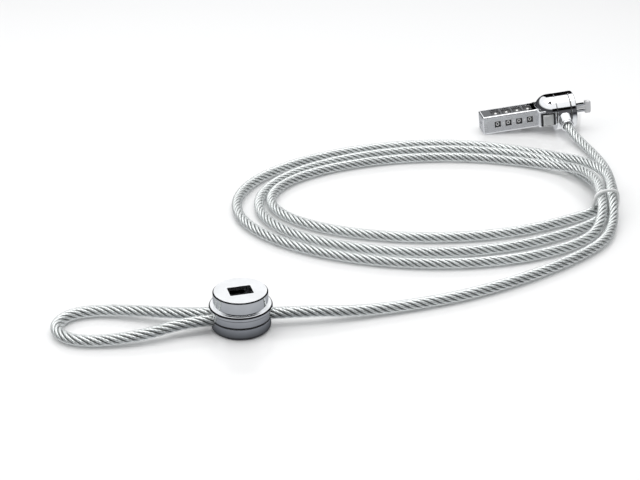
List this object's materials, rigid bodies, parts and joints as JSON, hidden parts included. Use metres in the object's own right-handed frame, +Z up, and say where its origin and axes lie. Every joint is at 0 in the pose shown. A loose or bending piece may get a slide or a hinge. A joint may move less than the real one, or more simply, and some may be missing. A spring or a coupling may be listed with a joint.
{
  "type": "laptop cable lock",
  "caption": "Combination lock head with a T-bar and push button, a coiled clear-coated wire rope, and a round slotted anchor with a rope loop.",
  "frame": {"origin": "on the floor under the middle of the lock head and bar, at rest", "axes": "+X along the lock towards its T-bar (the lock itself lies tipped up by 7 degrees), +Y away from the coil, +Z up"},
  "size_m": [0.291, 0.2333, 0.022],
  "materials": {
    "housing_chrome": "satin cast zinc, nickel plated",
    "polished_chrome": "mirror polished plating",
    "dark_mirror_inlay": "black nickel, polished",
    "black_plastic": "fine texture",
    "white_mark": "filled paint",
    "steel": "turned",
    "spring_steel": "drawn wire",
    "button_grey": "ribbed",
    "brass_core": "turned",
    "black_rubber": "matte",
    "dark_plate": "black oxide",
    "clear_coated_rope": "clear vinyl over bright wire rope",
    "clear_tie": "translucent"
  },
  "bodies": {
    "cable_assembly": {"cable_swivel_ring": "polished_chrome", "gland_ring": "polished_chrome", "cable_end_stop": "steel", "cable_lead": "clear_coated_rope", "cable_coil": "clear_coated_rope", "cable_tail": "clear_coated_rope", "cable_loop": "clear_coated_rope", "cable_tie": "clear_tie", "anchor_base": "housing_chrome", "anchor_seal": "black_rubber", "anchor_band": "housing_chrome", "anchor_flange_ring": "polished_chrome", "anchor_cap": "polished_chrome", "anchor_slot_plate": "dark_plate", "anchor_screws": "steel", "crimp_sleeve_tail": "steel", "crimp_sleeve_loop": "steel"},
    "lock_body": {"dial_housing": "housing_chrome", "top_inlay_plate": "dark_mirror_inlay", "index_marks": "white_mark", "end_cap": "housing_chrome", "detent_spring_strip": "spring_steel", "back_cover_plate": "housing_chrome", "spindle_spring": "spring_steel", "head_shell": "polished_chrome", "status_arrow": "dark_plate", "button_bezel": "black_plastic", "button_spring": "spring_steel", "bearing_plate": "steel", "head_core": "brass_core", "front_collar": "polished_chrome", "nose_bush": "polished_chrome"},
    "code_change": {"code_change_screw": "steel"},
    "spindle": {"dial_spindle": "steel"},
    "button": {"release_button": "button_grey", "button_rack": "steel"},
    "t_bar": {"t_bar_spindle": "steel", "spindle_circlip": "spring_steel"},
    "dial_wheel_1": {"dial_1": "black_plastic", "dial_marks_1": "white_mark", "clutch_hub_1": "steel"},
    "dial_wheel_2": {"dial_2": "black_plastic", "dial_marks_2": "white_mark", "clutch_hub_2": "steel"},
    "dial_wheel_3": {"dial_3": "black_plastic", "dial_marks_3": "white_mark", "clutch_hub_3": "steel"},
    "dial_wheel_4": {"dial_4": "black_plastic", "dial_marks_4": "white_mark", "clutch_hub_4": "steel"}
  },
  "joints": [
    {"name": "cable_swivel", "type": "hinge", "parent": "cable_assembly", "child": "lock_body", "pos_m": [0.0143, 0.0025, 0.01082], "axis": [0.9924, 0, 0.1232], "continuous": true},
    {"name": "dial_1_turn", "type": "hinge", "parent": "lock_body", "child": "dial_wheel_1", "pos_m": [-0.02321, 0.0025, 0.00617], "axis": [0.9924, 0, 0.1232], "continuous": true},
    {"name": "dial_2_turn", "type": "hinge", "parent": "lock_body", "child": "dial_wheel_2", "pos_m": [-0.01706, 0.0025, 0.00693], "axis": [0.9924, 0, 0.1232], "continuous": true},
    {"name": "dial_3_turn", "type": "hinge", "parent": "lock_body", "child": "dial_wheel_3", "pos_m": [-0.01091, 0.0025, 0.00769], "axis": [0.9924, 0, 0.1232], "continuous": true},
    {"name": "dial_4_turn", "type": "hinge", "parent": "lock_body", "child": "dial_wheel_4", "pos_m": [-0.00476, 0.0025, 0.00846], "axis": [0.9924, 0, 0.1232], "continuous": true},
    {"name": "code_change_turn", "type": "hinge", "parent": "lock_body", "child": "code_change", "pos_m": [-0.03076, 0.0025, 0.00523], "axis": [0.9924, 0, 0.1232], "range_deg": [0, 90]},
    {"name": "spindle_slide", "type": "slide", "parent": "lock_body", "child": "spindle", "axis": [-0.9924, 0, -0.1232], "range_m": [0, 0.001], "stiffness_N_per_m": 400, "deforming": ["spindle_spring"]},
    {"name": "button_press", "type": "slide", "parent": "lock_body", "child": "button", "axis": [0, 1, 0], "range_m": [0, 0.00251], "stiffness_N_per_m": 600, "deforming": ["button_spring"]},
    {"name": "t_bar_turn", "type": "hinge", "parent": "lock_body", "child": "t_bar", "pos_m": [0.02859, 0.0025, 0.01259], "axis": [0.9924, 0, 0.1232], "range_deg": [0, 90]}
  ],
  "couplings": [
    {"joint": "t_bar_turn", "follows": "button_press", "rad_per_m": 625}
  ]
}
